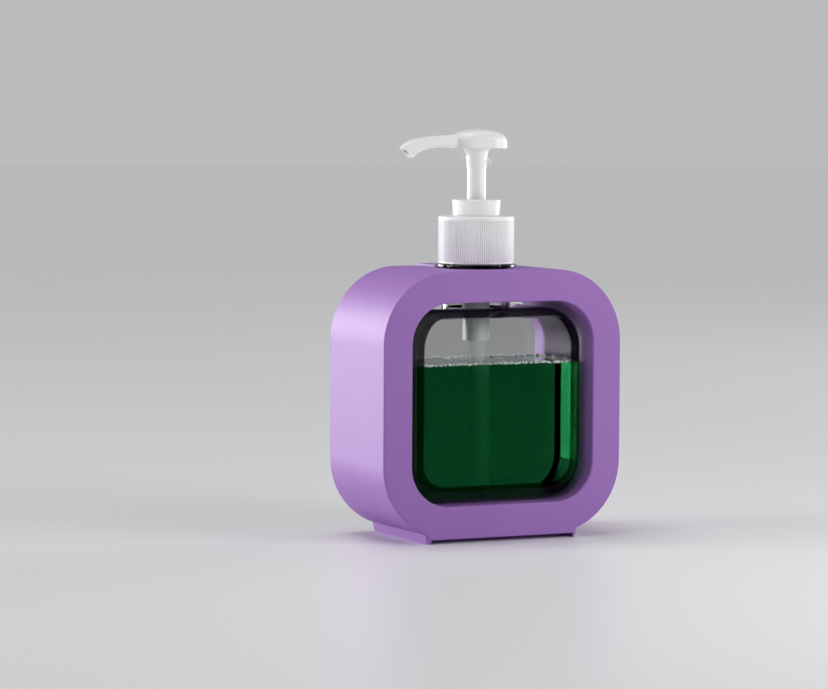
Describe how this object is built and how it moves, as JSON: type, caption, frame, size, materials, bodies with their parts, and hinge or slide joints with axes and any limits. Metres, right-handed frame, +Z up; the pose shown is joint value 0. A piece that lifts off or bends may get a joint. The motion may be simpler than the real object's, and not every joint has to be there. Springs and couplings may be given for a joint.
{
  "type": "soap dispenser",
  "caption": "Countertop soap dispenser: a clear bottle of liquid soap held in a square rounded frame with a foot, under a press-down lotion pump with a bowed spout.",
  "frame": {"origin": "on the counter, at the middle of the foot, under the axis of the pump", "axes": "+X along the front of the frame to the right, +Y towards the back, +Z up; the spout points along -X at rest"},
  "size_m": [0.115, 0.055, 0.1778],
  "materials": {
    "holder": "satin",
    "clear_bottle": "clear",
    "green_soap": "clear",
    "white_cap": "satin",
    "white_stem": "gloss",
    "milky_plastic": "satin",
    "gasket": "matte",
    "spring_steel": "drawn wire",
    "ball_glass": "polished"
  },
  "bodies": {
    "holder": {"holder_shell": "holder", "holder_back": "holder", "bottle": "clear_bottle", "liquid_soap": "green_soap"},
    "pump_unit": {"pump_cylinder": "milky_plastic", "lock_collar": "white_cap", "neck_gasket": "gasket", "dip_tube": "milky_plastic", "pump_spring": "spring_steel"},
    "screw_cap": {"screw_cap": "white_cap"},
    "piston": {"piston": "milky_plastic"},
    "pump_head": {"pump_head": "white_cap", "stem": "white_stem", "piston_rod": "milky_plastic"},
    "inlet_ball": {"inlet_ball": "ball_glass"}
  },
  "joints": [
    {"name": "pump_lift", "type": "slide", "parent": "holder", "child": "pump_unit", "axis": [0, 0, 1], "range_m": [0, 0.00635]},
    {"name": "cap_turn", "type": "hinge", "parent": "pump_unit", "child": "screw_cap", "pos_m": [0, 0, 0.13], "axis": [0, 0, 1], "range_deg": [0, 540]},
    {"name": "pump_press", "type": "slide", "parent": "pump_unit", "child": "piston", "axis": [0, 0, -1], "range_m": [0, 0.02], "stiffness_N_per_m": 300, "springref_m": -0.01, "deforming": ["pump_spring"]},
    {"name": "head_turn", "type": "hinge", "parent": "piston", "child": "pump_head", "pos_m": [0, 0, 0.16], "axis": [0, 0, 1], "continuous": true},
    {"name": "ball_lift", "type": "slide", "parent": "pump_unit", "child": "inlet_ball", "axis": [0, 0, 1], "range_m": [0, 0.0018]}
  ],
  "couplings": [
    {"joint": "cap_turn", "follows": "pump_lift", "rad_per_m": 1484.2}
  ]
}
